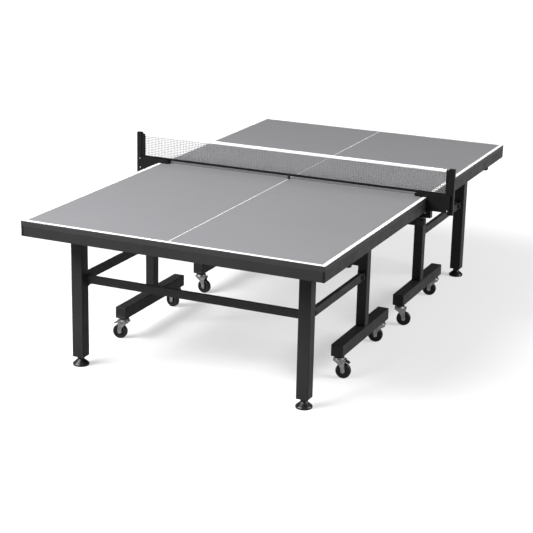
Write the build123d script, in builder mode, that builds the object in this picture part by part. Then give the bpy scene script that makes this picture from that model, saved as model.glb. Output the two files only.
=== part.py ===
"""Full-size roll-away table-tennis table, in millimetres.

The table stands on the floor plane z = 0 with its origin at the floor under the middle of the net.
+X runs along the length, from the near half to the far half, +Y to the left and +Z up.

Each half is a trolley (two T-shaped stands on swivel casters, tied by a cross tube), a top (board and
steel apron) that folds up about the stands, an end leg frame that stays upright, and two link tubes
that keep it so. "Reach" below is a distance from the net along the length, the same for both halves.
"""

from build123d import *
from math import cos, radians, sin
import os

os.makedirs("parts", exist_ok=True)

# playing surface
TABLE_LENGTH = 2740.0
TABLE_WIDTH = 1525.0
TABLE_HEIGHT = 760.0
BOARD = 25.0
HALF_GAP = 2.75
BOARD_BOTTOM = TABLE_HEIGHT - BOARD
EDGE_CHAMFER = 1.0

# steel apron under the board's edge
APRON_DEPTH = 50.0
APRON_THICKNESS = 25.0
APRON_INSET = 1.0
APRON_START = 6.0
APRON_BOTTOM = BOARD_BOTTOM - APRON_DEPTH
APRON_END_OUT = TABLE_LENGTH / 2 - APRON_INSET
APRON_END_IN = APRON_END_OUT - APRON_THICKNESS
APRON_SIDE_OUT = TABLE_WIDTH / 2 - APRON_INSET
APRON_SIDE_IN = APRON_SIDE_OUT - APRON_THICKNESS

# square steel tube
TUBE = 50.0
TUBE_WALL = 2.0
TUBE_CORNER = 4.0
SHEET = 3.0

# both stands and both legs of a half stand in the planes y = +STAND_Y and y = -STAND_Y
STAND_Y = 590.0
POST_REACH = 420.0
POST_TOP = 700.0
BEAM = 60.0
BEAM_START = 115.0
BEAM_END = 750.0
BEAM_BOTTOM = 116.0
BEAM_TOP = BEAM_BOTTOM + BEAM
CROSS_TUBE_Z = 500.0
CROSS_TUBE_DEEP = 30.0
CROSS_TUBE_TALL = 40.0

LEG_REACH = 1140.0
LEG_TUBE = 60.0
LEG_BOTTOM = 50.0
LEG_TOP = 705.0
RAIL_TALL = 40.0
RAIL_DEEP = 20.0

# the four pivots of a side are a parallelogram: top to stand, top to leg, link to stand, link to leg
FOLD_Z = 718.0
FOLD_REACH = POST_REACH - TUBE / 2
LINK_Z = 437.0
LINK_STAND_REACH = POST_REACH + 50.0
LINK_LEG_REACH = LEG_REACH - 65.0
LINK_LENGTH = LINK_LEG_REACH - LINK_STAND_REACH
LEG_PIVOT_REACH = FOLD_REACH + LINK_LENGTH
LINK_TALL = 40.0
LINK_WIDE = 20.0
PIN_RADIUS = 6.0
FIXED_CLEARANCE = 0.02
RUNNING_CLEARANCE = 0.05
OPEN_PIVOT_CLEARANCE = 0.5
LUG_THICKNESS = 12.0
LUG_RADIUS = 12.0
CHEEK = 4.0
CHEEK_RADIUS = 13.0
CHEEK_OFFSET = LUG_THICKNESS / 2 + 1.5 + CHEEK / 2
HINGE_BASE_LONG = 70.0
HINGE_BASE_WIDE = 76.0
BRACKET_CHEEK_OFFSET = LINK_WIDE / 2 + 1.5 + SHEET / 2
BRACKET_RADIUS = 14.0
HEX_RADIUS = 10.0
HEX_THICKNESS = 6.0
HEX_GAP = 0.5

# levelling foot
FOOT_RADIUS = 40.0
COLLAR_RADIUS = 17.0
STUD_RADIUS = 6.0
STUD_TOP = 85.0

# swivel caster
STEM_REACHES = (150.0, 715.0)
STEM_RADIUS = 6.0
STEM_TOP = BEAM_BOTTOM + 20.0
WHEEL_RADIUS = 37.5
WHEEL_WIDTH = 24.0
TRAIL = 22.0
AXLE_RADIUS = 4.0
HEAD_RADIUS = 29.0
HEAD_BOTTOM = 97.0
HEAD_TOP = 106.0
FORK_PLATE = 2.5
FORK_OFFSET = 15.75
FORK_LONG = 62.0
FORK_SKIRT = 88.0
FORK_WIDE = 2 * FORK_OFFSET + FORK_PLATE
FORK_TOP_THICKNESS = 4.0
FORK_MIDDLE = 4.0
BRAKE_PIN_RADIUS = 2.5
BRAKE_PIVOT = (8.0, 86.0)
BRAKE_HALF_WIDTH = 12.0

# net, its posts and their table clamps
NET_X = -14.0
NET_HEIGHT = 152.5
NET_TOP = TABLE_HEIGHT + NET_HEIGHT
NET_HALF_LENGTH = 854.5
TAPE_HEIGHT = 15.0
TAPE_THICKNESS = 4.0
NET_THICKNESS = 1.2
NET_CLEARANCE = 16.0
NET_POST_Y = 885.0
NET_POST_DEEP = 22.0
NET_POST_WIDE = 30.0
NET_POST_TOP = 915.0
NET_POST_BOTTOM = 680.0
CLAMP_DEEP = 30.0
CLAMP_X = -20.0
BAR_FRONT = -37.0
BAR_DEEP = 20.0
CLAMP_SCREW_Y = 740.0
CLAMP_SCREW_RADIUS = 5.0
JAW_BOTTOM = 655.0
JAW_THICKNESS = 12.0

HALVES = (("near", -1), ("far", 1))
SIDES = (("left", 1), ("right", -1))

# where each caster's wheel trails at rest: degrees about +Z, from +X
CASTER_ANGLES = {
    ("near", "left", "outer"): 100.0,
    ("near", "left", "inner"): 80.0,
    ("near", "right", "outer"): -82.0,
    ("near", "right", "inner"): 102.0,
    ("far", "left", "outer"): 86.0,
    ("far", "left", "inner"): -96.0,
    ("far", "right", "outer"): 97.0,
    ("far", "right", "inner"): -76.0,
}


def save(part, label):
    """Labels a finished piece and writes its STEP file."""
    part.label = label
    export_step(part, f"parts/{label}.step")


def upright_plane(x, y, z):
    """A horizontal sketch plane at a point."""
    return Plane(origin=(x, y, z), x_dir=(1, 0, 0), z_dir=(0, 0, 1))


def side_plane(y):
    """A sketch plane across Y: its x is the table's X and its y is the table's Z."""
    return Plane.XZ.offset(-y)


def closed_tube(plane, width, depth, length):
    """A steel tube along the plane's normal, with its ends plated."""
    with BuildPart() as tube:
        with BuildSketch(plane):
            RectangleRounded(width, depth, TUBE_CORNER)
        extrude(amount=length)
        with BuildSketch(plane.offset(TUBE_WALL)):
            RectangleRounded(width - 2 * TUBE_WALL, depth - 2 * TUBE_WALL, TUBE_CORNER - TUBE_WALL)
        extrude(amount=length - 2 * TUBE_WALL, mode=Mode.SUBTRACT)
    return tube.part


def make_board(half):
    length = TABLE_LENGTH / 2 - HALF_GAP
    with BuildPart() as board:
        with Locations((half * (HALF_GAP + length / 2), 0, TABLE_HEIGHT - BOARD / 2)):
            Box(length, TABLE_WIDTH, BOARD)
        chamfer(board.edges(), EDGE_CHAMFER)
    return board.part


def make_end_apron(half):
    """The apron's end rail, mitred at both corners."""
    with BuildPart() as apron:
        with BuildSketch(Plane.XY.offset(APRON_BOTTOM)):
            with BuildLine():
                Polyline(
                    (half * APRON_END_OUT, -APRON_SIDE_OUT),
                    (half * APRON_END_OUT, APRON_SIDE_OUT),
                    (half * APRON_END_IN, APRON_SIDE_IN),
                    (half * APRON_END_IN, -APRON_SIDE_IN),
                    close=True,
                )
            make_face()
        extrude(amount=APRON_DEPTH)
        fillet(apron.edges().filter_by(Axis.Y), TUBE_WALL)
        with Locations((half * (APRON_END_IN + APRON_END_OUT) / 2, 0, APRON_BOTTOM + APRON_DEPTH / 2)):
            Box(
                APRON_THICKNESS - 2 * TUBE_WALL,
                2 * (APRON_SIDE_IN - TUBE_WALL),
                APRON_DEPTH - 2 * TUBE_WALL,
                mode=Mode.SUBTRACT,
            )
    return apron.part


def make_side_apron(half, side):
    """One side rail of the apron, mitred at the table's corner and square at the net."""
    void_start = APRON_START + TUBE_WALL
    void_end = APRON_END_IN - TUBE_WALL
    with BuildPart() as apron:
        with BuildSketch(Plane.XY.offset(APRON_BOTTOM)):
            with BuildLine():
                Polyline(
                    (half * APRON_START, side * APRON_SIDE_OUT),
                    (half * APRON_END_OUT, side * APRON_SIDE_OUT),
                    (half * APRON_END_IN, side * APRON_SIDE_IN),
                    (half * APRON_START, side * APRON_SIDE_IN),
                    close=True,
                )
            make_face()
        extrude(amount=APRON_DEPTH)
        fillet(apron.edges().filter_by(Axis.X), TUBE_WALL)
        middle_y = side * (APRON_SIDE_IN + APRON_SIDE_OUT) / 2
        with Locations((half * (void_start + void_end) / 2, middle_y, APRON_BOTTOM + APRON_DEPTH / 2)):
            Box(
                void_end - void_start,
                APRON_THICKNESS - 2 * TUBE_WALL,
                APRON_DEPTH - 2 * TUBE_WALL,
                mode=Mode.SUBTRACT,
            )
    return apron.part


def make_hinge_plates(half):
    """Four U-shaped hinge plates screwed under the board, two for the stands and two for the legs."""
    with BuildPart() as plates:
        for _, side in SIDES:
            for reach in (FOLD_REACH, LEG_PIVOT_REACH):
                with Locations((half * reach, side * STAND_Y, BOARD_BOTTOM - SHEET / 2)):
                    Box(HINGE_BASE_LONG, HINGE_BASE_WIDE, SHEET)
                for cheek in (CHEEK_OFFSET, -CHEEK_OFFSET):
                    with BuildSketch(side_plane(side * STAND_Y + cheek)):
                        with Locations((half * reach, FOLD_Z)):
                            Circle(CHEEK_RADIUS)
                        with Locations((half * reach, BOARD_BOTTOM - SHEET / 2)):
                            Rectangle(TUBE, SHEET)
                        make_hull()
                        with Locations((half * reach, FOLD_Z)):
                            Circle(PIN_RADIUS + RUNNING_CLEARANCE, mode=Mode.SUBTRACT)
                    extrude(amount=CHEEK / 2, both=True)
    return plates.part


def make_stand(half, side):
    """A T-shaped stand: foot beam, post, hinge lug on the post's top and the link's bracket."""
    y = side * STAND_Y
    beam_plane = Plane(
        origin=(half * BEAM_START, y, BEAM_BOTTOM + BEAM / 2), x_dir=(0, 1, 0), z_dir=(half, 0, 0)
    )
    beam = closed_tube(beam_plane, BEAM, BEAM, BEAM_END - BEAM_START)
    post = closed_tube(upright_plane(half * POST_REACH, y, BEAM_TOP), TUBE, TUBE, POST_TOP - BEAM_TOP)
    post_face = POST_REACH + TUBE / 2
    with BuildPart() as stand:
        add(beam)
        add(post)
        with BuildSketch(side_plane(y)):
            with Locations((half * FOLD_REACH, FOLD_Z)):
                Circle(LUG_RADIUS)
            with Locations((half * POST_REACH, POST_TOP - SHEET / 2)):
                Rectangle(TUBE, SHEET)
            make_hull()
            with Locations((half * FOLD_REACH, FOLD_Z)):
                Circle(PIN_RADIUS + FIXED_CLEARANCE, mode=Mode.SUBTRACT)
        extrude(amount=LUG_THICKNESS / 2, both=True)
        with Locations((half * (post_face + SHEET / 2), y, LINK_Z)):
            Box(SHEET, TUBE - 2, TUBE)
        for cheek in (BRACKET_CHEEK_OFFSET, -BRACKET_CHEEK_OFFSET):
            with BuildSketch(side_plane(y + cheek)):
                with Locations((half * LINK_STAND_REACH, LINK_Z)):
                    Circle(BRACKET_RADIUS)
                with Locations((half * (post_face + SHEET), LINK_Z)):
                    Rectangle(SHEET, LINK_TALL)
                make_hull()
                with Locations((half * LINK_STAND_REACH, LINK_Z)):
                    Circle(PIN_RADIUS + FIXED_CLEARANCE, mode=Mode.SUBTRACT)
            extrude(amount=SHEET / 2, both=True)
        for reach in STEM_REACHES:
            with BuildSketch(upright_plane(half * reach, y, BEAM_BOTTOM)):
                Circle(STEM_RADIUS + RUNNING_CLEARANCE)
            extrude(amount=TUBE_WALL, mode=Mode.SUBTRACT)
    return stand.part


def make_cross_tube(half):
    """Ties the two stands of a half together."""
    span = 2 * (STAND_Y - TUBE / 2)
    plane = Plane(
        origin=(half * POST_REACH, -span / 2, CROSS_TUBE_Z), x_dir=(1, 0, 0), z_dir=(0, 1, 0)
    )
    return closed_tube(plane, CROSS_TUBE_DEEP, CROSS_TUBE_TALL, span)


def make_bolts(half, pivots):
    """Cross bolts with a head and a nut, one on each side of the table for each (reach, z, grip)."""
    with BuildPart() as bolts:
        for _, side in SIDES:
            for reach, z, grip in pivots:
                y = side * STAND_Y
                with BuildSketch(side_plane(y)):
                    with Locations((half * reach, z)):
                        Circle(PIN_RADIUS)
                extrude(amount=grip + HEX_GAP, both=True)
                for end in (1, -1):
                    middle = y + end * (grip + HEX_GAP + HEX_THICKNESS / 2)
                    with BuildSketch(side_plane(middle)):
                        with Locations((half * reach, z)):
                            RegularPolygon(HEX_RADIUS, 6)
                    extrude(amount=HEX_THICKNESS / 2, both=True)
    return bolts.part


def make_leg(half, side):
    """An end leg with the arm that carries its top pivot and the bracket for the link."""
    y = side * STAND_Y
    plane = upright_plane(half * LEG_REACH, y, LEG_BOTTOM)
    tube = closed_tube(plane, LEG_TUBE, LEG_TUBE, LEG_TOP - LEG_BOTTOM)
    leg_face = LEG_REACH - LEG_TUBE / 2
    arm_middle_z = LEG_TOP - RAIL_TALL / 2 - SHEET
    with BuildPart() as leg:
        add(tube)
        with BuildSketch(side_plane(y)):
            with Locations((half * LEG_PIVOT_REACH, FOLD_Z)):
                Circle(LUG_RADIUS)
            with Locations((half * leg_face, arm_middle_z)):
                Rectangle(SHEET, RAIL_TALL)
            make_hull()
            with Locations((half * LEG_PIVOT_REACH, FOLD_Z)):
                Circle(PIN_RADIUS + FIXED_CLEARANCE, mode=Mode.SUBTRACT)
        extrude(amount=LUG_THICKNESS / 2, both=True)
        with Locations((half * (leg_face - SHEET / 2), y, LINK_Z)):
            Box(SHEET, TUBE - 2, TUBE)
        for cheek in (BRACKET_CHEEK_OFFSET, -BRACKET_CHEEK_OFFSET):
            with BuildSketch(side_plane(y + cheek)):
                with Locations((half * LINK_LEG_REACH, LINK_Z)):
                    Circle(BRACKET_RADIUS)
                with Locations((half * (leg_face - SHEET), LINK_Z)):
                    Rectangle(SHEET, LINK_TALL)
                make_hull()
                with Locations((half * LINK_LEG_REACH, LINK_Z)):
                    Circle(PIN_RADIUS + FIXED_CLEARANCE, mode=Mode.SUBTRACT)
            extrude(amount=SHEET / 2, both=True)
        with BuildSketch(upright_plane(half * LEG_REACH, y, LEG_BOTTOM)):
            Circle(STUD_RADIUS + RUNNING_CLEARANCE)
        extrude(amount=TUBE_WALL, mode=Mode.SUBTRACT)
    return leg.part


def make_leg_rail(half):
    """Ties the two legs of a half together."""
    span = 2 * (STAND_Y - LEG_TUBE / 2)
    reach = LEG_REACH - LEG_TUBE / 2 + RAIL_DEEP / 2
    plane = Plane(origin=(half * reach, -span / 2, LINK_Z), x_dir=(1, 0, 0), z_dir=(0, 1, 0))
    return closed_tube(plane, RAIL_DEEP, RAIL_TALL, span)


def make_foot(half, side):
    """A levelling foot: pad, neck and threaded stud, turned about its own axis."""
    x = half * LEG_REACH
    y = side * STAND_Y
    with BuildPart() as foot:
        with BuildSketch(Plane(origin=(x, y, 0), x_dir=(1, 0, 0), z_dir=(0, -1, 0))):
            with BuildLine():
                Polyline(
                    (0, 0),
                    (FOOT_RADIUS - 2, 0),
                    (FOOT_RADIUS, 2),
                    (FOOT_RADIUS, 9),
                    (FOOT_RADIUS - 3, 13),
                    (FOOT_RADIUS - 10, 19),
                    (COLLAR_RADIUS + 4, 27),
                    (COLLAR_RADIUS, 32),
                    (COLLAR_RADIUS, 45),
                    (STUD_RADIUS, 45),
                    (STUD_RADIUS, STUD_TOP),
                    (0, STUD_TOP),
                    close=True,
                )
            make_face()
        revolve(axis=Axis((x, y, 0), (0, 0, 1)))
    return foot.part


def make_link(half, side):
    """A link tube with rounded ends, pivoted on the stand and on the leg."""
    middle = half * (LINK_STAND_REACH + LINK_LEG_REACH) / 2
    with BuildPart() as link:
        with BuildSketch(side_plane(side * STAND_Y)):
            with Locations((middle, LINK_Z)):
                SlotCenterToCenter(LINK_LENGTH, LINK_TALL)
            with Locations((half * LINK_STAND_REACH, LINK_Z)):
                Circle(PIN_RADIUS + RUNNING_CLEARANCE, mode=Mode.SUBTRACT)
            with Locations((half * LINK_LEG_REACH, LINK_Z)):
                Circle(PIN_RADIUS + OPEN_PIVOT_CLEARANCE, mode=Mode.SUBTRACT)
        extrude(amount=LINK_WIDE / 2, both=True)
        with Locations((middle, side * STAND_Y, LINK_Z)):
            Box(
                LINK_LENGTH - LINK_TALL,
                LINK_WIDE - 2 * TUBE_WALL,
                LINK_TALL - 2 * TUBE_WALL,
                mode=Mode.SUBTRACT,
            )
    return link.part


class Caster:
    """Where one caster stands: its swivel axis, and its side plane along the wheel's trail."""

    def __init__(self, half, side, reach, angle):
        self.x = half * reach
        self.y = side * STAND_Y
        self.trail = (cos(radians(angle)), sin(radians(angle)), 0)
        self.across = (self.trail[1], -self.trail[0], 0)

    def flat(self, z):
        """Horizontal plane through the swivel axis, x along the trail."""
        return Plane(origin=(self.x, self.y, z), x_dir=self.trail, z_dir=(0, 0, 1))

    def side(self):
        """Vertical plane through the swivel axis, x along the trail and y up."""
        return Plane(origin=(self.x, self.y, 0), x_dir=self.trail, z_dir=self.across)


def make_fork(caster, braked):
    """Pressed fork with waisted side plates, its swivel head, stem and riveted axle."""
    front = FORK_MIDDLE - FORK_LONG / 2
    back = FORK_MIDDLE + FORK_LONG / 2
    with BuildPart() as fork:
        with BuildSketch(caster.flat(HEAD_BOTTOM - FORK_TOP_THICKNESS)):
            with Locations((FORK_MIDDLE, 0)):
                Rectangle(FORK_LONG, FORK_WIDE)
        extrude(amount=FORK_TOP_THICKNESS)
        for offset_side in (FORK_OFFSET, -FORK_OFFSET):
            with BuildSketch(caster.side().offset(offset_side)):
                with BuildLine():
                    Polyline((front, FORK_SKIRT), (front, HEAD_BOTTOM), (back, HEAD_BOTTOM), (back, FORK_SKIRT))
                    Spline((back, FORK_SKIRT), (back - 6, 74), (TRAIL + 9, 55), (TRAIL + 9, 41))
                    Line((TRAIL + 9, 41), (TRAIL - 9, 41))
                    Spline((TRAIL - 9, 41), (TRAIL - 14, 58), (front + 19, 76), (front, FORK_SKIRT))
                make_face()
                with Locations((TRAIL, WHEEL_RADIUS)):
                    Circle(2.5 * AXLE_RADIUS)
                if braked:
                    with Locations(BRAKE_PIVOT):
                        Circle(BRAKE_PIN_RADIUS + RUNNING_CLEARANCE, mode=Mode.SUBTRACT)
            extrude(amount=FORK_PLATE / 2, both=True)
        with BuildSketch(caster.flat(HEAD_BOTTOM)):
            Circle(HEAD_RADIUS)
        extrude(amount=HEAD_TOP - HEAD_BOTTOM, taper=20)
        with BuildSketch(caster.flat(HEAD_BOTTOM)):
            Circle(STEM_RADIUS)
        extrude(amount=STEM_TOP - HEAD_BOTTOM)
        with BuildSketch(caster.side()):
            with Locations((TRAIL, WHEEL_RADIUS)):
                Circle(AXLE_RADIUS)
        extrude(amount=FORK_OFFSET + FORK_PLATE, both=True)
    return fork.part


def make_wheel(caster):
    """Solid wheel with a rounded tread, a dished side and a hub."""
    hub_half = FORK_OFFSET - FORK_PLATE
    dish_depth = 4.0
    with BuildPart() as wheel:
        with BuildSketch(caster.side()):
            with Locations((TRAIL, WHEEL_RADIUS)):
                Circle(WHEEL_RADIUS)
        extrude(amount=WHEEL_WIDTH / 2, both=True)
        fillet(wheel.edges().filter_by(GeomType.CIRCLE), 5.0)
        for face in (WHEEL_WIDTH / 2, -WHEEL_WIDTH / 2):
            with BuildSketch(caster.side().offset(face)):
                with Locations((TRAIL, WHEEL_RADIUS)):
                    Circle(0.68 * WHEEL_RADIUS)
            extrude(amount=dish_depth if face < 0 else -dish_depth, mode=Mode.SUBTRACT)
        with BuildSketch(caster.side()):
            with Locations((TRAIL, WHEEL_RADIUS)):
                Circle(2.4 * AXLE_RADIUS)
        extrude(amount=hub_half, both=True)
        with BuildSketch(caster.side()):
            with Locations((TRAIL, WHEEL_RADIUS)):
                Circle(AXLE_RADIUS + RUNNING_CLEARANCE)
        extrude(amount=WHEEL_WIDTH, both=True, mode=Mode.SUBTRACT)
    return wheel.part


def make_brake(caster):
    """Brake pedal: a bent plate between the fork's sides, with its pin."""
    with BuildPart() as brake:
        with BuildSketch(caster.side()):
            with BuildLine():
                Polyline((3, 84), (36, 84), (52, 77), (54, 80.5), (38, 90), (3, 90), close=True)
            make_face()
        extrude(amount=BRAKE_HALF_WIDTH, both=True)
        with BuildSketch(caster.side()):
            with Locations(BRAKE_PIVOT):
                Circle(BRAKE_PIN_RADIUS)
        extrude(amount=FORK_OFFSET + FORK_PLATE, both=True)
    return brake.part


def make_net_post(side):
    """A net post with its clamp.

    An arm with a bar in front of the net lies on the board, a block stands beside it and a jaw reaches
    below the apron.
    """
    lip_y = NET_POST_Y - NET_POST_WIDE / 2 - 7.5
    block_in = TABLE_WIDTH / 2 + 1
    block_wide = NET_POST_Y - block_in
    arm_in = 700.0
    arm_wide = NET_POST_Y - arm_in
    jaw_in = 715.0
    jaw_out = block_in + 26
    bar_outline = (
        (NET_POST_Y, 763),
        (NET_POST_Y, 784),
        (724, 782),
        (710, 780),
        (702, 775),
        (arm_in, 769),
        (704, 763),
    )
    with BuildPart() as post:
        with Locations((NET_X, side * NET_POST_Y, (NET_POST_TOP + NET_POST_BOTTOM) / 2)):
            Box(NET_POST_DEEP, NET_POST_WIDE, NET_POST_TOP - NET_POST_BOTTOM)
        fillet(post.edges().filter_by(Axis.Z), 3.0)
        with Locations((NET_X, side * lip_y, (763 + NET_POST_TOP - 8) / 2)):
            Box(14, 15, NET_POST_TOP - 8 - 763)
        with Locations((CLAMP_X, side * (block_in + block_wide / 2), 723)):
            Box(CLAMP_DEEP, block_wide, 58)
        with Locations((CLAMP_X, side * (arm_in + arm_wide / 2), 769)):
            Box(CLAMP_DEEP, arm_wide, 12)
        with BuildSketch(Plane(origin=(BAR_FRONT, 0, 0), x_dir=(0, 1, 0), z_dir=(1, 0, 0))):
            with BuildLine():
                outline = [(y * side, z) for y, z in bar_outline]
                Polyline(*outline, close=True)
            make_face()
        extrude(amount=BAR_DEEP)
        with Locations((CLAMP_X, side * (block_in + block_wide / 2), 757.5)):
            Box(CLAMP_DEEP, block_wide, 13)
        with Locations((CLAMP_X, side * (arm_in + 20), 761.5)):
            Box(CLAMP_DEEP - 4, 34, 3)
        with Locations((CLAMP_X, side * (block_in + 13), (JAW_BOTTOM + 700) / 2)):
            Box(CLAMP_DEEP, 26, 700 - JAW_BOTTOM)
        with Locations((CLAMP_X, side * (jaw_in + jaw_out) / 2, JAW_BOTTOM + JAW_THICKNESS / 2)):
            Box(CLAMP_DEEP, jaw_out - jaw_in, JAW_THICKNESS)
        with BuildSketch(upright_plane(CLAMP_X, side * CLAMP_SCREW_Y, JAW_BOTTOM)):
            Circle(CLAMP_SCREW_RADIUS + RUNNING_CLEARANCE)
        extrude(amount=JAW_THICKNESS, mode=Mode.SUBTRACT)
    return post.part


def make_clamp_screw(side):
    """Clamp screw with a grooved knob below the jaw and a pad against the apron."""
    knob_bottom = 612.0
    knob_height = 26.0
    knob_radius = 19.0
    pad_height = 4.0
    pad_top = APRON_BOTTOM - 0.2
    with BuildPart() as screw:
        with BuildSketch(upright_plane(CLAMP_X, side * CLAMP_SCREW_Y, knob_bottom)):
            Circle(knob_radius)
            with PolarLocations(knob_radius + 2, 8):
                Circle(4.5, mode=Mode.SUBTRACT)
        extrude(amount=knob_height)
        with BuildSketch(upright_plane(CLAMP_X, side * CLAMP_SCREW_Y, knob_bottom)):
            Circle(CLAMP_SCREW_RADIUS)
        extrude(amount=pad_top - knob_bottom)
        with BuildSketch(upright_plane(CLAMP_X, side * CLAMP_SCREW_Y, pad_top - pad_height)):
            Circle(11)
        extrude(amount=pad_height)
    return screw.part


def make_net_tape():
    with BuildPart() as tape:
        with Locations((NET_X, 0, NET_TOP - TAPE_HEIGHT / 2)):
            Box(TAPE_THICKNESS, 2 * NET_HALF_LENGTH, TAPE_HEIGHT)
        fillet(tape.edges().filter_by(Axis.Y), 1.0)
    return tape.part


def make_net_mesh():
    bottom = TABLE_HEIGHT + NET_CLEARANCE
    top = NET_TOP - TAPE_HEIGHT
    with BuildPart() as mesh:
        with Locations((NET_X, 0, (bottom + top) / 2)):
            Box(NET_THICKNESS, 2 * NET_HALF_LENGTH, top - bottom)
    return mesh.part


hinge_grip = CHEEK_OFFSET + CHEEK / 2
bracket_grip = BRACKET_CHEEK_OFFSET + SHEET / 2
stand_pivots = ((FOLD_REACH, FOLD_Z, hinge_grip), (LINK_STAND_REACH, LINK_Z, bracket_grip))
leg_pivots = ((LEG_PIVOT_REACH, FOLD_Z, hinge_grip), (LINK_LEG_REACH, LINK_Z, bracket_grip))

for half_name, half in HALVES:
    save(make_board(half), f"{half_name}_board")
    save(make_end_apron(half), f"{half_name}_end_apron")
    save(make_hinge_plates(half), f"{half_name}_hinge_plates")
    save(make_cross_tube(half), f"{half_name}_cross_tube")
    save(make_bolts(half, stand_pivots), f"{half_name}_stand_bolts")
    save(make_bolts(half, leg_pivots), f"{half_name}_leg_bolts")
    save(make_leg_rail(half), f"{half_name}_leg_rail")
    for side_name, side in SIDES:
        place = f"{half_name}_{side_name}"
        save(make_side_apron(half, side), f"{place}_apron")
        save(make_stand(half, side), f"{place}_stand")
        save(make_leg(half, side), f"{place}_leg")
        save(make_foot(half, side), f"{place}_foot")
        save(make_link(half, side), f"{place}_link")
        for position, reach in zip(("inner", "outer"), STEM_REACHES):
            caster = Caster(half, side, reach, CASTER_ANGLES[(half_name, side_name, position)])
            braked = position == "outer"
            save(make_fork(caster, braked), f"{place}_{position}_fork")
            save(make_wheel(caster), f"{place}_{position}_wheel")
            if braked:
                save(make_brake(caster), f"{place}_brake_pedal")

for side_name, side in SIDES:
    save(make_net_post(side), f"{side_name}_net_post")
    save(make_clamp_screw(side), f"{side_name}_clamp_screw")
save(make_net_tape(), "net_tape")
save(make_net_mesh(), "net_mesh")
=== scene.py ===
"""Looks, net, markings, fittings, floor, lights and camera for the roll-away table-tennis table.

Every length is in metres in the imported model's frame: origin on the floor under the middle of the
table, +X from the near half to the far half, +Y to the left and +Z up. "Reach" is a distance from the
middle along the length, the same for both halves.
"""

import math

import bmesh
import bpy
from mathutils import Matrix, Vector, noise


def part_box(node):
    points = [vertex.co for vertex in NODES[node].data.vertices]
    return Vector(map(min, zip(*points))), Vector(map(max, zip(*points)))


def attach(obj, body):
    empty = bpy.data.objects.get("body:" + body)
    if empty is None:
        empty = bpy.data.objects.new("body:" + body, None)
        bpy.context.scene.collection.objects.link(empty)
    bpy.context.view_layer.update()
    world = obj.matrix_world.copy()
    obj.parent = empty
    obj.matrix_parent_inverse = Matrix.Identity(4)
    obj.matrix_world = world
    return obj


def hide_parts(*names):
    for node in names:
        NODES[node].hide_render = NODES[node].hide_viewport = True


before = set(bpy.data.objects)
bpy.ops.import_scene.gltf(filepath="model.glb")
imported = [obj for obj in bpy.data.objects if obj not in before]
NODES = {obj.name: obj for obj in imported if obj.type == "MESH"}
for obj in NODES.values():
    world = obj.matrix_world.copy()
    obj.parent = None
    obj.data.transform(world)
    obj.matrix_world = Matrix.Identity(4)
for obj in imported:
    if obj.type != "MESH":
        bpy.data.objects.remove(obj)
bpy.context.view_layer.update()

HALVES = (("near", -1), ("far", 1))
SIDES = (("left", 1), ("right", -1))
TABLE_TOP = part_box("near_board")[1][2]
BOARD_END = -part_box("near_board")[0][0]
BOARD_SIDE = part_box("near_board")[1][1]
BOARD_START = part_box("far_board")[0][0]


# ---------------------------------------------------------------- materials


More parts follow.
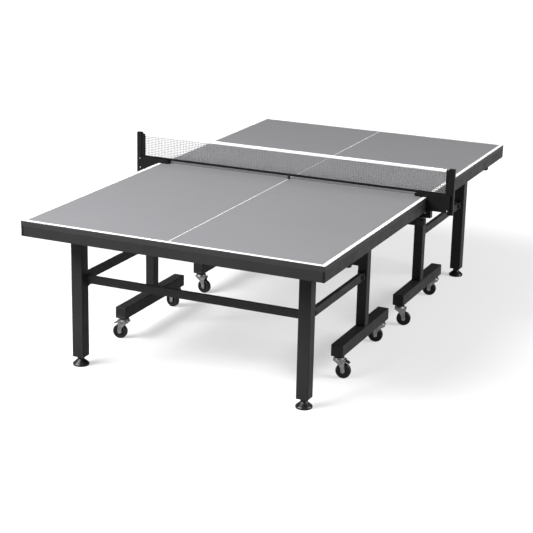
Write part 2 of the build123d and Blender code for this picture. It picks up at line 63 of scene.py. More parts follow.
class Nodes:
    """Builds one procedural material on a Principled shader."""

    def __init__(self, name):
        self.material = bpy.data.materials.new(name)
        self.material.use_nodes = True
        self.tree = self.material.node_tree
        self.shader = self.tree.nodes["Principled BSDF"]
        self.coords = self.add("ShaderNodeTexCoord")

    def add(self, kind, inputs=None, **settings):
        node = self.tree.nodes.new(kind)
        for name, value in settings.items():
            setattr(node, name, value)
        for name, value in (inputs or {}).items():
            if isinstance(value, bpy.types.NodeSocket):
                self.link(value, node.inputs[name])
            else:
                node.inputs[name].default_value = value
        return node

    def link(self, source, target):
        self.tree.links.new(source, target)

    def set(self, **values):
        """Constants on the shader's own sockets; underscores stand for spaces."""
        for name, value in values.items():
            self.shader.inputs[name.replace("_", " ")].default_value = value

    def noise(self, scale, detail=3.0, roughness=0.5, vector=None):
        node = self.add("ShaderNodeTexNoise", {"Scale": scale, "Detail": detail, "Roughness": roughness})
        self.link(vector or self.coords.outputs["Object"], node.inputs["Vector"])
        return node.outputs["Fac"]

    def spread(self, value, low, high, to_low=0.0, to_high=1.0):
        """value from low..high spread over to_low..to_high, clamped."""
        node = self.add(
            "ShaderNodeMapRange",
            {"From Min": low, "From Max": high, "To Min": to_low, "To Max": to_high},
        )
        self.link(value, node.inputs["Value"])
        return node.outputs["Result"]

    def math(self, operation, a, b):
        node = self.add("ShaderNodeMath", {0: a, 1: b}, operation=operation)
        return node.outputs["Value"]

    def patches(self, coarse, fine):
        """Speckled patches: coarse and fine are each (noise scale, detail, lowest, highest)."""
        masks = [
            self.spread(self.noise(scale, detail), low, high) for scale, detail, low, high in (coarse, fine)
        ]
        return self.math("MULTIPLY", *masks)

    def mix(self, factor, a, b):
        node = self.add("ShaderNodeMix", data_type="RGBA")
        self.link(factor, node.inputs["Factor"])
        for socket, value in ((node.inputs[6], a), (node.inputs[7], b)):
            if isinstance(value, bpy.types.NodeSocket):
                self.link(value, socket)
            else:
                socket.default_value = (*value, 1.0)
        return node.outputs[2]

    def color(self, value):
        self.link(value, self.shader.inputs["Base Color"])

    def roughness(self, value):
        self.link(value, self.shader.inputs["Roughness"])

    def bump(self, *layers):
        """layers are (height socket, strength, distance in metres), the first one lowest."""
        normal = None
        for height, strength, distance in layers:
            node = self.add("ShaderNodeBump", {"Strength": strength, "Distance": distance})
            self.link(height, node.inputs["Height"])
            if normal:
                self.link(normal, node.inputs["Normal"])
            normal = node.outputs["Normal"]
        self.link(normal, self.shader.inputs["Normal"])

    def edge_wear(self, radius=0.0015, low=0.02, high=0.12):
        """How much a convex edge shows, from the angle between the true and a rounded normal."""
        bevel = self.add("ShaderNodeBevel", {"Radius": radius}, samples=4)
        geometry = self.add("ShaderNodeNewGeometry")
        dot = self.add("ShaderNodeVectorMath", operation="DOT_PRODUCT")
        self.link(bevel.outputs["Normal"], dot.inputs[0])
        self.link(geometry.outputs["Normal"], dot.inputs[1])
        off = self.math("SUBTRACT", 1.0, dot.outputs["Value"])
        return self.spread(off, low, high)


def powder_coat(name, color, roughness, grain):
    """Powder-coated steel: fine orange peel, slight cloudiness, dulled patches and rubbed edges."""
    m = Nodes(name)
    cloud = m.spread(m.noise(6.0, 4.0), 0.3, 0.7)
    base = m.mix(cloud, [0.86 * c for c in color], [1.12 * c for c in color])
    worn = m.math("MULTIPLY", m.edge_wear(), m.spread(m.noise(60.0, 3.0), 0.5, 0.75))
    rubbed = [min(1.0, 2.6 * c + 0.03) for c in color]
    m.color(m.mix(worn, base, rubbed))
    m.roughness(m.spread(m.noise(14.0, 5.0), 0.3, 0.7, roughness - 0.05, roughness + 0.07))
    m.bump((m.noise(grain, 2.0), 0.22, 0.0004), (m.noise(grain * 3.1, 2.0), 0.12, 0.0002))
    m.set(Specular_IOR_Level=0.07)
    return m.material


def playing_surface():
    """Grey lacquered top with a sprayed grain, black edges and a dark sealed underside."""
    m = Nodes("playing_surface")
    facing = m.add("ShaderNodeSeparateXYZ")
    m.link(m.coords.outputs["Normal"], facing.inputs[0])
    broad = m.spread(m.noise(1.7, 3.0), 0.3, 0.7)
    grey = m.mix(broad, (0.0915, 0.091, 0.0955), (0.0955, 0.095, 0.0995))
    speckle = m.spread(m.noise(1900.0, 2.0), 0.35, 0.65)
    grey = m.mix(m.math("MULTIPLY", speckle, 0.5), grey, (0.0825, 0.082, 0.086))
    marks = m.patches((19.0, 1.0, 0.66, 0.72), (140.0, 3.0, 0.5, 0.7))
    grey = m.mix(m.math("MULTIPLY", marks, 0.2), grey, (0.118, 0.118, 0.123))
    fibre = m.spread(m.noise(240.0, 4.0), 0.3, 0.7)
    dark = m.mix(fibre, (0.0082, 0.0082, 0.0086), (0.0108, 0.0108, 0.0113))
    sealed = m.mix(fibre, (0.030, 0.030, 0.031), (0.040, 0.040, 0.041))
    underneath = m.math("LESS_THAN", facing.outputs["Z"], -0.3)
    on_top = m.math("GREATER_THAN", facing.outputs["Z"], 0.3)
    m.color(m.mix(on_top, m.mix(underneath, dark, sealed), grey))
    top_sheen = m.spread(m.noise(7.0, 5.0), 0.3, 0.7, 0.47, 0.53)
    rough = m.add("ShaderNodeMix", data_type="FLOAT")
    m.link(on_top, rough.inputs["Factor"])
    m.link(m.spread(fibre, 0.0, 1.0, 0.5, 0.65), rough.inputs[2])
    m.link(top_sheen, rough.inputs[3])
    m.roughness(rough.outputs[0])
    m.bump((m.noise(1500.0, 3.0), 0.12, 0.0002), (m.noise(3.0, 2.0), 0.02, 0.001))
    m.set(Specular_IOR_Level=0.15)
    return m.material


def line_paint():
    """White screen-printed paint, slightly uneven, scuffed in places."""
    m = Nodes("line_paint")
    tone = m.spread(m.noise(30.0, 4.0), 0.3, 0.7)
    white = m.mix(tone, (0.37, 0.37, 0.368), (0.42, 0.42, 0.418))
    scuff = m.patches((11.0, 2.0, 0.6, 0.7), (400.0, 3.0, 0.45, 0.7))
    m.color(m.mix(m.math("MULTIPLY", scuff, 0.5), white, (0.30, 0.30, 0.30)))
    m.roughness(m.spread(m.noise(90.0, 3.0), 0.3, 0.7, 0.42, 0.56))
    m.bump((m.noise(1500.0, 3.0), 0.15, 0.0002))
    return m.material


def zinc_plate():
    """Bright zinc on pressed steel: drawn grain, clouded plating and rubbed edges."""
    m = Nodes("zinc_plate")
    stretch = m.add("ShaderNodeMapping")
    stretch.inputs["Scale"].default_value = (1.0, 1.0, 0.08)
    m.link(m.coords.outputs["Object"], stretch.inputs["Vector"])
    grain = m.noise(1400.0, 3.0, vector=stretch.outputs["Vector"])
    cloud = m.spread(m.noise(70.0, 3.0), 0.35, 0.65)
    base = m.mix(cloud, (0.13, 0.132, 0.13), (0.22, 0.22, 0.217))
    m.color(m.mix(m.edge_wear(0.0008), base, (0.5, 0.5, 0.485)))
    m.roughness(m.spread(grain, 0.25, 0.75, 0.24, 0.42))
    m.bump((grain, 0.12, 0.0002), (m.noise(160.0, 2.0), 0.06, 0.0008))
    m.set(Metallic=1.0)
    return m.material


def rubber(name, color, dust, roughness, grain, gloss):
    """Moulded rubber or plastic: fine mould texture, with dust settled in patches."""
    m = Nodes(name)
    settled = m.patches((35.0, 4.0, 0.45, 0.75), (600.0, 3.0, 0.4, 0.7))
    shade = m.mix(m.spread(m.noise(80.0, 2.0), 0.3, 0.7), color, [1.4 * c for c in color])
    m.color(m.mix(m.math("MULTIPLY", settled, dust), shade, (0.16, 0.155, 0.15)))
    m.roughness(m.spread(m.noise(50.0, 4.0), 0.3, 0.7, roughness - 0.05, roughness + 0.1))
    m.bump((m.noise(grain, 3.0), 0.25, 0.0003), (m.noise(grain * 0.15, 2.0), 0.05, 0.001))
    m.set(Specular_IOR_Level=gloss)
    return m.material


def woven(name, color, shade, pitch, fuzz, sheen=0.25):
    """Plain-woven fabric: over-and-under threads along Y and Z, uneven in tone, with soft sheen and painted
    shade in the hollows between threads.

    pitch is the distance between threads and fuzz the height of the weave; shade is the darker colour, used
    for the painted shade in the hollows and for random darker patches.
    """
    m = Nodes(name)
    place = m.add("ShaderNodeSeparateXYZ")
    m.link(m.coords.outputs["Object"], place.inputs[0])
    rate = 2.0 * math.pi / pitch
    warp = m.math("SINE", m.math("MULTIPLY", place.outputs["Y"], rate), 0.0)
    weft = m.math("SINE", m.math("MULTIPLY", place.outputs["Z"], rate), 0.0)
    weave = m.spread(m.math("MULTIPLY", warp, weft), -1.0, 1.0)
    uneven = m.math("MULTIPLY", m.noise(1.3 / pitch, 3.0), 0.6)
    threads = m.math("ADD", m.math("MULTIPLY", weave, 0.7), uneven)
    tone = m.spread(m.noise(22.0, 4.0), 0.3, 0.7, 0.0, 0.35)
    # painted shade: where the weave is low, between threads, the colour goes towards shade
    base = m.mix(m.math("SUBTRACT", 1.0, m.spread(threads, 0.2, 0.9)), color, shade)
    m.color(m.mix(tone, base, shade))
    m.roughness(m.spread(threads, 0.2, 1.0, 0.9, 0.72))
    m.bump((threads, 0.5, fuzz))
    m.set(Sheen_Weight=sheen, Sheen_Roughness=0.5, Specular_IOR_Level=sheen)
    return m.material


MATERIALS = {
    "playing_surface": playing_surface(),
    "line_paint": line_paint(),
    "coated_steel": powder_coat("coated_steel", (0.0098, 0.0098, 0.0102), 0.5, 900.0),
    "black_steel": powder_coat("black_steel", (0.0025, 0.0025, 0.0026), 0.45, 1100.0),
    "zinc_plate": zinc_plate(),
    "wheel_rubber": rubber("wheel_rubber", (0.0045, 0.0045, 0.0047), 0.06, 0.34, 900.0, 0.14),
    "foot_rubber": rubber("foot_rubber", (0.003, 0.003, 0.0032), 0.03, 0.28, 500.0, 0.14),
    "black_plastic": rubber("black_plastic", (0.005, 0.005, 0.0053), 0.05, 0.4, 1200.0, 0.13),
    # woven cloths: the second colour is the painted shade in the hollows of the weave, and also the colour of
    # random darker patches
    "net_cord": woven("net_cord", (0.078, 0.078, 0.080), (0.032, 0.032, 0.033), 0.0009, 0.0003),
    "dark_tape": woven("dark_tape", (0.004, 0.004, 0.0042), (0.002, 0.002, 0.0021), 0.0012, 0.0004, 0.03),
    "white_tape": woven("white_tape", (0.42, 0.42, 0.415), (0.30, 0.30, 0.30), 0.0012, 0.0004),
}

for node in NODES.values():
    for material_slot in node.material_slots:
        material_slot.material = MATERIALS[material_slot.material.name]

# ---------------------------------------------------------------- mesh helpers


class Shape:
    """Collects blocks, lathed forms and sweeps into one mesh, then makes a piece of it."""

    def __init__(self):
        self.mesh = bmesh.new()

    def block(self, low, high, bevel=0.0):
        """A box between two corners with rounded edges."""
        made = bmesh.ops.create_cube(self.mesh, size=1.0)
        low, high = Vector(low), Vector(high)
        for vert in made["verts"]:
            vert.co = Vector((low[k] + (vert.co[k] + 0.5) * (high[k] - low[k]) for k in range(3)))
        if bevel:
            edges = list({edge for vert in made["verts"] for edge in vert.link_edges})
            bmesh.ops.bevel(self.mesh, geom=edges, offset=bevel, segments=2, affect="EDGES", profile=0.5)

    def rings(self, rings, loop=False):
        """Skins rings of equally many points; loop joins the last ring to the first, else both ends close."""
        made = [[self.mesh.verts.new(point) for point in ring] for ring in rings]
        count = len(made[0])
        pairs = list(zip(made, made[1:]))
        if loop:
            pairs.append((made[-1], made[0]))
        for first, second in pairs:
            for k in range(count):
                after = (k + 1) % count
                self.mesh.faces.new((first[k], first[after], second[after], second[k]))
        if not loop:
            self.mesh.faces.new(list(reversed(made[0])))
            self.mesh.faces.new(made[-1])

    def lathe(self, origin, axis, profile, segments=28, outline=None):
        """Turns (radius, height) pairs about an axis; outline(angle) scales the radius at that angle."""
        axis = Vector(axis).normalized()
        across = Vector((0, 1, 0)) if abs(axis.x) > 0.9 else Vector((1, 0, 0))
        other = axis.cross(across)
        rings = []
        for radius, height in profile:
            ring = []
            for k in range(segments):
                angle = 2 * math.pi * k / segments
                reach = radius * (outline(angle) if outline else 1.0)
                outward = across * math.cos(angle) + other * math.sin(angle)
                ring.append(Vector(origin) + axis * height + outward * reach)
            rings.append(ring)
        self.rings(rings)

    def tube(self, points, radius, sides=5, loop=False):
        """A round cord through points; radius is a number or a function of the point's number."""
        points = [Vector(point) for point in points]
        last = len(points) - 1
        rings = []
        for k, point in enumerate(points):
            ahead = points[(k + 1) % len(points)] if loop else points[min(k + 1, last)]
            behind = points[k - 1] if loop else points[max(k - 1, 0)]
            along = (ahead - behind).normalized()
            guide = Vector((1, 0, 0)) if abs(along.x) < 0.9 else Vector((0, 0, 1))
            across = along.cross(guide).normalized()
            other = along.cross(across)
            size = radius(k) if callable(radius) else radius
            ring = []
            for n in range(sides):
                angle = 2 * math.pi * n / sides
                ring.append(point + (across * math.cos(angle) + other * math.sin(angle)) * size)
            rings.append(ring)
        self.rings(rings, loop=loop)

    def plate(self, outline, low, high, flat):
        """Extrudes a flat outline; flat(u, v, w) gives the place of outline point (u, v) at depth w."""
        self.rings([[flat(u, v, w) for u, v in outline] for w in (low, high)])

    def piece(self, name, body, slot, material=None, smooth_below=38.0):
        """Makes the mesh a piece on a body; edges sharper than smooth_below degrees stay crisp."""
        bmesh.ops.recalc_face_normals(self.mesh, faces=self.mesh.faces)
        data = bpy.data.meshes.new(name)
        self.mesh.to_mesh(data)
        self.mesh.free()
        data.materials.append(MATERIALS[material or slot])
        for polygon in data.polygons:
            polygon.use_smooth = True
        data.set_sharp_from_angle(angle=math.radians(smooth_below))
        piece = bpy.data.objects.new(name, data)
        bpy.context.scene.collection.objects.link(piece)
        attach(piece, body)
        return piece


def rounded_square(angle, corner=0.16):
    """How far a square with rounded corners reaches at an angle, with half its side as 1."""
    flat = 1.0 / max(abs(math.cos(angle)), abs(math.sin(angle)))
    return min(flat, 1.0 + (math.sqrt(2.0) - 1.0) * (1.0 - corner * 0.42))


# ---------------------------------------------------------------- markings on the top

SIDE_LINE = 0.020
CENTRE_LINE = 0.003
PAINT = 0.0002
EDGE = 0.001
SEAM_GAP = 0.0004


def make_lines(half_name, half):
    """The painted side, end and centre lines of one half."""
    shape = Shape()
    inner = BOARD_START + SEAM_GAP
    end_in = BOARD_END - SIDE_LINE

    def strip(reach_from, reach_to, y_from, y_to):
        xs = sorted((half * reach_from, half * reach_to))
        shape.block((xs[0], y_from, TABLE_TOP - PAINT), (xs[1], y_to, TABLE_TOP + PAINT))

    for _, side in SIDES:
        ys = sorted((side * (BOARD_SIDE - SIDE_LINE), side * (BOARD_SIDE - EDGE)))
        strip(inner, BOARD_END - EDGE, *ys)
    strip(end_in, BOARD_END - EDGE, -(BOARD_SIDE - SIDE_LINE), BOARD_SIDE - SIDE_LINE)
    strip(inner, end_in, -CENTRE_LINE / 2, CENTRE_LINE / 2)
    shape.piece(f"{half_name}_lines", f"{half_name}_top", "playing_surface", "line_paint")


for half_name, half in HALVES:
    make_lines(half_name, half)

# ---------------------------------------------------------------- net

NET_LOW, NET_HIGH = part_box("net_mesh")
TAPE_LOW, TAPE_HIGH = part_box("net_tape")
NET_X = (NET_LOW.x + NET_HIGH.x) / 2
NET_END = NET_HIGH.y
MESH_PITCH = 0.009
CORD_RADIUS = 0.0011
CORD_SIDES = 5
# about half the modelled cords' surface; the net's cut is a rectangle with a larger area
KNOT = 1.9 * CORD_RADIUS
SEWN_IN = 0.004
BAND_TALL = 0.012
BAND_THICK = 0.0036
RING_STEP = 0.006
STITCH_STEP = 0.0045
STITCH_RADIUS = 0.00028
STITCH_RISE = 0.25


def waver(y, z, amount, seed):
    """A smooth offset that differs from place to place on the net."""
    return amount * noise.noise(Vector((y * 9.0 + seed, z * 9.0, seed * 3.7)))


def net_point(y, z):
    """Where a point of the flat net hangs: knotted cord gives a little, except where it is sewn in."""
    edge = min(1.0, (NET_END - abs(y)) / 0.02)
    above_band = max(0.0, z - NET_LOW.z - BAND_TALL)
    below_tape = max(0.0, TAPE_LOW.z - z)
    free = min(1.0, above_band / 0.03, below_tape / 0.03)
    depth = 0.0022 * edge * free
    return Vector(
        (
            NET_X + waver(y, z, depth, 1.0) + waver(y * 7, z * 7, 0.0003 * free, 5.0),
            y + waver(y * 3, z * 3, 0.0016 * edge, 2.0),
            z + waver(y * 3, z * 3, 0.0012, 3.0) * edge,
        )
    )


def spaced(low, high, pitch):
    """Evenly spaced numbers from low to high, about pitch apart."""
    count = max(2, round((high - low) / pitch) + 1)
    return [low + (high - low) * k / (count - 1) for k in range(count)]


def make_net():
    """The knotted black cords between the tape and the lower band."""
    shape = Shape()
    columns = spaced(-NET_END + 0.001, NET_END - 0.001, MESH_PITCH)
    rows = spaced(NET_LOW.z + SEWN_IN, TAPE_LOW.z + SEWN_IN, MESH_PITCH)
    grid = {(i, j): net_point(y, z) for i, y in enumerate(columns) for j, z in enumerate(rows)}
    for i in range(len(columns)):
        shape.tube([grid[(i, j)] for j in range(len(rows))], CORD_RADIUS, CORD_SIDES)
    for j in range(len(rows)):
        shape.tube([grid[(i, j)] for i in range(len(columns))], CORD_RADIUS, CORD_SIDES)
    for (_, j), point in grid.items():
        if 0 < j < len(rows) - 1:
            ring = [
                point + Vector((0, math.cos(k * math.pi / 2) * KNOT, math.sin(k * math.pi / 2) * KNOT))
                for k in range(4)
            ]
            corners = [shape.mesh.verts.new(place) for place in ring]
            for tip in (-KNOT * 0.8, KNOT * 0.8):
                peak = shape.mesh.verts.new(point + Vector((tip, 0, 0)))
                for k in range(4):
                    shape.mesh.faces.new((corners[k], corners[(k + 1) % 4], peak))
    net = shape.piece("net_cords", "near_top", "net_cord", smooth_below=60.0)
    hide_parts("net_mesh")
    return net


def folded_band(name, slot, cloth, low, high, thick, amount):
    """A tape folded over the net's edge: thicker at its fold, pinched at the stitched hem.

    amount is how far it sways from a straight line.
    """
    shape = Shape()
    tall = high - low
    profile = (
        (0.30, 0.00), (0.40, 0.03), (0.40, 0.22), (0.34, 0.27), (0.42, 0.33), (0.50, 0.60), (0.50, 0.80),
        (0.43, 0.92), (0.25, 0.985), (0.0, 1.0),
    )
    outline = list(profile) + [(-across, rise) for across, rise in reversed(profile[:-1])]
    rings = []
    for y in spaced(-NET_END, NET_END, RING_STEP):
        sway = waver(y * 1.5, 0.0, amount, 7.0)
        fray = waver(y * 12, 1.0, amount * 0.5, 8.0)
        ring = []
        for across, rise in outline:
            x = NET_X + across * thick * (1.0 + 40.0 * fray) + sway
            ring.append(Vector((x, y, low + rise * tall + fray * (1.0 - rise))))
        rings.append(ring)
    shape.rings(rings)
    band = shape.piece(name, "near_top", slot, cloth, smooth_below=70.0)
    seam = Shape()
    z = low + STITCH_RISE * tall
    for y in spaced(-NET_END + RING_STEP, NET_END - RING_STEP, STITCH_STEP):
        sway = waver(y * 1.5, 0.0, amount, 7.0)
        for face in (-1, 1):
            x = NET_X + sway + face * thick * 0.36
            loop = ((-0.0002, -0.0014), (0.00035, -0.0007), (0.00035, 0.0007), (-0.0002, 0.0014))
            seam.tube([(x + face * out, y + along, z) for out, along in loop], STITCH_RADIUS, 4)
    stitches = seam.piece(f"{name}_stitches", "near_top", slot, cloth, smooth_below=70.0)
    return band, stitches


def make_tie():
    """The small strap and base that hold the net's lower band to the top at the centre line."""
    shape = Shape()
    top = NET_LOW.z + 0.013
    blocks = (
        (-0.0035, -0.0021, 0.006, TABLE_TOP + 0.002, top, 0.0004),
        (0.0021, 0.0035, 0.006, TABLE_TOP + 0.002, top, 0.0004),
        (-0.0035, 0.0035, 0.006, top - 0.0005, top + 0.001, 0.0005),
        (-0.009, 0.009, 0.008, TABLE_TOP + 0.0002, TABLE_TOP + 0.003, 0.0009),
    )
    for x_low, x_high, y_half, z_low, z_high, bevel in blocks:
        shape.block((NET_X + x_low, -y_half, z_low), (NET_X + x_high, y_half, z_high), bevel)
    shape.piece("net_tie", "near_top", "black_plastic")


net = make_net()
tape_thick = TAPE_HIGH.x - TAPE_LOW.x
tape, tape_stitches = folded_band(
    "net_top_tape", "white_tape", "white_tape", TAPE_LOW.z, TAPE_HIGH.z, tape_thick, 0.0004
)
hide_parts("net_tape")
band, band_stitches = folded_band(
    "net_lower_band", "net_cord", "dark_tape", NET_LOW.z, NET_LOW.z + BAND_TALL, BAND_THICK, 0.0003
)
make_tie()

# ---------------------------------------------------------------- fittings

STAND_Y = 0.59
TUBE_HALF = 0.025
BEAM_LOW, BEAM_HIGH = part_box("far_right_stand")
POST_REACH = 0.42
BEAM_HALF = 0.03
BEAM_TOP = BEAM_LOW.z + 2 * BEAM_HALF
APRON_LOW, APRON_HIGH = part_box("far_left_apron")
RAIL_LOW, RAIL_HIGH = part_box("far_leg_rail")
CROSS_LOW, CROSS_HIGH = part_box("far_cross_tube")
LEG_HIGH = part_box("far_right_leg")[1]
LEG_HALF = -STAND_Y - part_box("far_right_leg")[0].y
LEG_REACH = LEG_HIGH.x - LEG_HALF
LEG_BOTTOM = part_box("far_right_leg")[0].z
BUFFER_REACH = 1.06
PLUG_Y = 0.135
PLUG_Z = 0.7275
POST_SCREW_Y = 0.874


def weld(shape, points, loop, radius=0.0023):
    """A rippled fillet weld along a line of points."""
    path = []
    count = len(points)
    for k in range(count if loop else count - 1):
        start, end = Vector(points[k]), Vector(points[(k + 1) % count])
        steps = max(2, round((end - start).length / 0.0012))
        path += [start.lerp(end, n / steps) for n in range(steps)]
    if not loop:
        path.append(Vector(points[-1]))
    path = [
        point + Vector([noise.noise(point * 260.0 + Vector((seed, 0, 0))) * 0.0004 for seed in (0, 11, 23)])
        for point in path
    ]
    shape.tube(path, lambda k: radius * (0.86 + 0.2 * abs(math.sin(k * 0.9))), 8, loop)


def square_path(x, y, half, z, corner=0.004):
    """A square loop with cut corners at height z."""
    points = []
    for sx, sy in ((1, 1), (-1, 1), (-1, -1), (1, -1)):
        first = (x + sx * half, y + sy * (half - corner), z)
        second = (x + sx * (half - corner), y + sy * half, z)
        points += [first, second] if sx * sy > 0 else [second, first]
    return points


def rect_loop(x_half, x, y, z_low, z_high, corner=0.003):
    """A rectangular loop in the plane across Y, with cut corners; x_half is half its length along X."""
    z_mid, z_half = (z_low + z_high) / 2, (z_high - z_low) / 2
    points = []
    for sx, sz in ((1, 1), (-1, 1), (-1, -1), (1, -1)):
        first = (x + sx * x_half, y, z_mid + sz * (z_half - corner))
        second = (x + sx * (x_half - corner), y, z_mid + sz * z_half)
        points += [first, second] if sx * sz > 0 else [second, first]
    return points


def make_welds(half_name, half):
    """Fillet welds round the stand posts and the ends of the cross tube and leg rail."""
    trolley, legs = Shape(), Shape()
    for _, side in SIDES:
        y = side * STAND_Y
        weld(trolley, square_path(half * POST_REACH, y, TUBE_HALF, BEAM_TOP), True)
        y_in = side * (STAND_Y - TUBE_HALF)
        cross_half = (CROSS_HIGH.x - CROSS_LOW.x) / 2
        weld(trolley, rect_loop(cross_half, half * POST_REACH, y_in, CROSS_LOW.z, CROSS_HIGH.z), True)
        y_in = side * (STAND_Y - LEG_HALF)
        rail_half = (RAIL_HIGH.x - RAIL_LOW.x) / 2
        rail_x = half * (RAIL_HIGH.x + RAIL_LOW.x) / 2
        weld(legs, rect_loop(rail_half, rail_x, y_in, RAIL_LOW.z, RAIL_HIGH.z), True)
    trolley.piece(f"{half_name}_trolley_welds", f"{half_name}_trolley", "coated_steel", smooth_below=60.0)
    legs.piece(f"{half_name}_leg_welds", f"{half_name}_legs", "coated_steel", smooth_below=60.0)


def make_gussets(half_name, half):
    """Small triangular plates under the ends of the rail between the legs."""
    shape = Shape()
    x = half * (RAIL_HIGH.x + RAIL_LOW.x) / 2
    y = STAND_Y - LEG_HALF
    outline = ((0, 0), (0.017, 0), (0.017, 0.004), (0.005, 0.016), (0, 0.016))
    for _, side in SIDES:
        shape.plate(
            outline, -0.002, 0.002, lambda u, v, w, side=side: Vector((x + w, side * (y - u), RAIL_LOW.z - v))
        )
    shape.piece(f"{half_name}_rail_gussets", f"{half_name}_legs", "coated_steel")


def leg_cap_rings(x, y):
    """The flanged plug under one leg, with a round hole for the foot's stud."""
    hole = 0.0068
    rim = LEG_HALF - 0.0001
    profile = (
        (hole, 0.0), (LEG_HALF - 0.0007, 0.0), (rim, -0.0008), (rim, -0.0024), (LEG_HALF - 0.0012, -0.0032),
        (hole, -0.0032),
    )
    rings = []
    for radius, height in profile:
        ring = []
        for k in range(64):
            angle = 2 * math.pi * k / 64
            reach = radius * rounded_square(angle) if radius > hole else radius
            ring.append((x + reach * math.cos(angle), y + reach * math.sin(angle), LEG_BOTTOM + height))
        rings.append(ring)
    return rings


def make_caps(half_name, half):
    """Plastic plugs in the ends of the caster beams, and the flanged plugs under the legs."""
    beams, legs = Shape(), Shape()
    beam_z = (BEAM_LOW.z + BEAM_TOP) / 2
    profile = (
        (0.0290, 0.0), (0.0290, 0.0016), (0.0280, 0.0028), (0.0225, 0.0032), (0.0215, 0.0022), (0.0, 0.0022),
    )
    for _, side in SIDES:
        y = side * STAND_Y
        for reach, way in ((BEAM_HIGH.x, 1), (BEAM_LOW.x, -1)):
            beams.lathe((half * reach, y, beam_z), (half * way, 0, 0), profile, 64, rounded_square)
        legs.rings(leg_cap_rings(half * LEG_REACH, y), loop=True)
    beams.piece(f"{half_name}_beam_caps", f"{half_name}_trolley", "black_plastic")
    legs.piece(f"{half_name}_leg_caps", f"{half_name}_legs", "black_plastic")


def make_buffers(half_name, half):
    """Rubber buffers under the side aprons, on which the folded halves rest together."""
    shape = Shape()
    profile = (
        (0.0175, 0.0), (0.0180, 0.0010), (0.0180, 0.0030), (0.0160, 0.0042), (0.0150, 0.0100),
        (0.0138, 0.0125), (0.0110, 0.0138), (0.0050, 0.0140), (0.0042, 0.0120), (0.0, 0.0120),
    )
    for _, side in SIDES:
        y = side * (APRON_LOW.y + APRON_HIGH.y) / 2
        shape.lathe((half * BUFFER_REACH, y, APRON_LOW.z), (0, 0, -1), profile, 36)
    shape.piece(f"{half_name}_buffers", f"{half_name}_top", "foot_rubber")


def make_corner_guards(half_name, half):
    """Thin corner pieces over the mitres of the apron."""
    shape = Shape()
    wrap, thick = 0.010, 0.0007
    outline = (
        (-wrap, 0), (-wrap, thick * 0.7), (-wrap + 0.0006, thick), (-0.001, thick),
        (thick * 0.55, thick * 0.55), (thick, -0.001), (thick, -wrap + 0.0006), (thick * 0.7, -wrap),
        (0, -wrap), (-0.001, -0.001),
    )
    for _, side in SIDES:
        shape.plate(
            outline,
            APRON_LOW.z + 0.0008,
            APRON_HIGH.z - 0.0006,
            lambda u, v, w, side=side: Vector((half * (APRON_HIGH.x + u), side * (APRON_HIGH.y + v), w)),
        )
    shape.piece(f"{half_name}_corner_guards", f"{half_name}_top", "black_steel")


BAR_FRONT = -0.037
BLOCK_FRONT = -0.035
SCREW_PROFILE = (
    (0.0046, 0.0), (0.0047, 0.0006), (0.0044, 0.0014), (0.0034, 0.0022), (0.0021, 0.0025), (0.0019, 0.0023),
    (0.0017, 0.0010), (0.0, 0.0009),
)


def make_post_screws(side_name, side, places):
    """Bright button-head screws in the faces of the net clamp's bar and block."""
    shape = Shape()
    for face, z in places:
        shape.lathe((face, side * POST_SCREW_Y, z), (-1, 0, 0), SCREW_PROFILE, 24)
    shape.piece(f"{side_name}_post_screws", "near_top", "zinc_plate")


def make_apron_plug(half_name, half):
    """An oval plug with a dished face in the end apron, over the hole for the leg catch."""
    shape = Shape()
    profile = (
        (0.016, 0.0042, -0.001), (0.016, 0.0042, 0.0005), (0.0152, 0.0035, 0.00085), (0.0125, 0.0022, 0.0006),
        (0.011, 0.0014, -0.0004),
    )
    rings = []
    for wide, tall, out in profile:
        ring = []
        for k in range(48):
            angle = 2 * math.pi * k / 48
            run = math.copysign(abs(math.cos(angle)) ** 0.6, math.cos(angle)) * wide
            ring.append((half * (APRON_HIGH.x + out), PLUG_Y + run, PLUG_Z + math.sin(angle) * tall))
        rings.append(ring)
    shape.rings(rings)
    shape.piece(f"{half_name}_apron_plug", f"{half_name}_top", "black_plastic")


def make_hinge_screws(half_name, half):
    """Screws that hold the hinge plates under the board."""
    shape = Shape()
    plate_low, plate_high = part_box("far_hinge_plates")
    for reach in (plate_low.x + 0.035, plate_high.x - 0.035):
        for _, side in SIDES:
            for along in (-0.025, 0.025):
                for across in (-0.029, 0.029):
                    place = (half * (reach + along), side * STAND_Y + across, plate_high.z - 0.003)
                    shape.lathe(place, (0, 0, -1), SCREW_PROFILE, 20)
    shape.piece(f"{half_name}_hinge_screws", f"{half_name}_top", "zinc_plate")


for half_name, half in HALVES:
    make_welds(half_name, half)
    make_gussets(half_name, half)
    make_caps(half_name, half)
    make_buffers(half_name, half)
    make_corner_guards(half_name, half)
    make_apron_plug(half_name, half)
    make_hinge_screws(half_name, half)
make_post_screws("left", 1, ((BAR_FRONT, 0.7740), (BLOCK_FRONT, 0.7235)))
make_post_screws("right", -1, ((BLOCK_FRONT, 0.7015),))

# ---------------------------------------------------------------- floor, lights, camera

FLOOR_HALF = 60.0
FLOOR_GLOW = 0.5
FAR_GLOW = 0.95


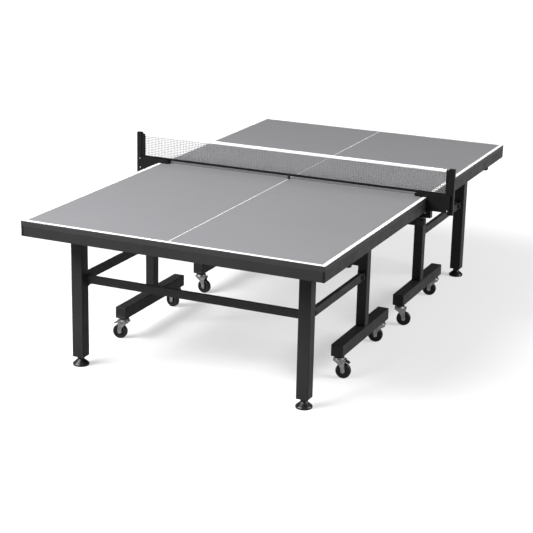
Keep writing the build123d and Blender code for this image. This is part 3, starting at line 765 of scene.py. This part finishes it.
def make_floor():
    """A pale matt sweep, opaque from above only.

    It glows faintly so that shadows on it stay light, and more so further out.
    """
    mesh = bpy.data.meshes.new("floor")
    corners = [(x * FLOOR_HALF, y * FLOOR_HALF, 0.0) for x, y in ((-1, -1), (1, -1), (1, 1), (-1, 1))]
    mesh.from_pydata(corners, [], [(0, 1, 2, 3)])
    floor = bpy.data.objects.new("floor", mesh)
    bpy.context.scene.collection.objects.link(floor)
    m = Nodes("floor")
    tone = m.spread(m.noise(0.6, 2.0), 0.3, 0.7)
    m.color(m.mix(tone, (0.22, 0.22, 0.22), (0.235, 0.235, 0.235)))
    away = m.add("ShaderNodeVectorMath", operation="LENGTH")
    m.link(m.coords.outputs["Object"], away.inputs[0])
    glow = m.spread(away.outputs["Value"], 1.9, 5.0, FLOOR_GLOW, FAR_GLOW)
    m.link(glow, m.shader.inputs["Emission Strength"])
    m.set(Roughness=0.75, Specular_IOR_Level=0.0, Emission_Color=(1.0, 1.0, 1.0, 1.0))
    one_sided = m.add("ShaderNodeMixShader")
    m.link(m.add("ShaderNodeNewGeometry").outputs["Backfacing"], one_sided.inputs[0])
    m.link(m.shader.outputs[0], one_sided.inputs[1])
    m.link(m.add("ShaderNodeBsdfTransparent").outputs[0], one_sided.inputs[2])
    m.link(one_sided.outputs[0], m.tree.nodes["Material Output"].inputs["Surface"])
    mesh.materials.append(m.material)


def make_light(name, place, target, size, power):
    """A soft box of a size in metres, aimed at a target."""
    data = bpy.data.lights.new(name, "AREA")
    data.shape = "RECTANGLE"
    data.size, data.size_y = size
    data.energy = power
    light = bpy.data.objects.new(name, data)
    light.location = place
    light.rotation_euler = (Vector(target) - Vector(place)).to_track_quat("-Z", "Y").to_euler()
    bpy.context.scene.collection.objects.link(light)


def make_camera(place, heading, tilt, roll, lens):
    """A camera turned to a heading from +X, tilted down and rolled, all in degrees; lens is in mm."""
    heading, tilt, roll = (math.radians(angle) for angle in (heading, tilt, roll))
    ahead = Vector((math.cos(heading) * math.cos(tilt), math.sin(heading) * math.cos(tilt), -math.sin(tilt)))
    level = ahead.cross(Vector((0, 0, 1))).normalized()
    right = level * math.cos(roll) + level.cross(ahead) * math.sin(roll)
    up = right.cross(ahead)
    data = bpy.data.cameras.new("camera")
    data.sensor_width = 36.0
    data.lens = lens
    data.clip_start = 0.05
    data.clip_end = 300.0
    camera = bpy.data.objects.new("camera", data)
    camera.matrix_world = Matrix.Translation(place) @ Matrix((right, up, -ahead)).transposed().to_4x4()
    bpy.context.scene.collection.objects.link(camera)
    bpy.context.scene.camera = camera


def make_world(toward, dim, bright):
    """A white room that lights the object more from one side, and is plain white where it is seen."""
    world = bpy.data.worlds.new("studio")
    bpy.context.scene.world = world
    world.use_nodes = True
    nodes, links = world.node_tree.nodes, world.node_tree.links
    background = nodes["Background"]
    background.inputs["Color"].default_value = (1.0, 1.0, 1.0, 1.0)
    coords = nodes.new("ShaderNodeTexCoord")
    dot = nodes.new("ShaderNodeVectorMath")
    dot.operation = "DOT_PRODUCT"
    dot.inputs[1].default_value = Vector(toward).normalized()
    spread = nodes.new("ShaderNodeMapRange")
    spread.inputs["From Min"].default_value = -1.0
    spread.inputs["From Max"].default_value = 1.0
    spread.inputs["To Min"].default_value = dim
    spread.inputs["To Max"].default_value = bright
    links.new(coords.outputs["Generated"], dot.inputs[0])
    links.new(dot.outputs["Value"], spread.inputs["Value"])
    seen = nodes.new("ShaderNodeLightPath")
    strength = nodes.new("ShaderNodeMath")
    strength.operation = "MAXIMUM"
    links.new(spread.outputs["Result"], strength.inputs[0])
    links.new(seen.outputs["Is Camera Ray"], strength.inputs[1])
    links.new(strength.outputs["Value"], background.inputs["Strength"])


make_floor()
make_light("front", (-4.5, 3.3, 4.9), (-0.4, 0.1, 0.4), (4.8, 3.6), 2200.0)
make_light("right", (1.8, -8.4, 5.6), (0.2, 0.0, 0.4), (6.0, 3.6), 1750.0)
make_camera((-6.994, -3.006, 2.621), 24.1, 17.14, 1.29, 100.9)
make_world((-0.4, 0.0, 0.8), 0.15, 0.45)
bpy.context.scene.view_settings.view_transform = "Standard"
